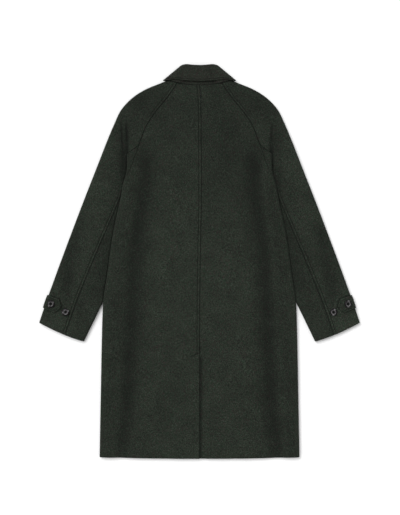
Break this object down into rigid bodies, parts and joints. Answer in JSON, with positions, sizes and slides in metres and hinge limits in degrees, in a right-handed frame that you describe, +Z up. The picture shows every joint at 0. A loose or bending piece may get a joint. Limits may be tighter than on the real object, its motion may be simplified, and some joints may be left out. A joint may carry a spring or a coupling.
{
  "type": "coat",
  "caption": "Long raglan wool overcoat laid flat on its front, back up, with a turn-down collar, a lapped back vent and buttoned cuff tabs.",
  "frame": {"origin": "middle of the box round the coat, on the surface it lies on", "axes": "+Y from the hem towards the collar, +Z up out of the surface through the back of the coat, -X towards the wearer's left sleeve"},
  "size_m": [0.9144, 1.123, 0.0222],
  "materials": {
    "wool_cloth": "matt napped melange wool, dark green with brown and grey fibres",
    "button_horn": "glossy near-black with a dished middle"
  },
  "bodies": {
    "root": {"back_left": "wool_cloth", "back_right": "wool_cloth", "front_left": "wool_cloth", "front_right": "wool_cloth", "sleeve_back_left": "wool_cloth", "sleeve_back_right": "wool_cloth", "sleeve_front_left": "wool_cloth", "sleeve_front_right": "wool_cloth", "collar_leaf": "wool_cloth", "collar_stand": "wool_cloth", "tab_left": "wool_cloth", "tab_right": "wool_cloth", "button_tab_left": "button_horn", "button_tab_right": "button_horn", "button_sleeve_left": "button_horn", "button_sleeve_right": "button_horn"}
  },
  "joints": []
}
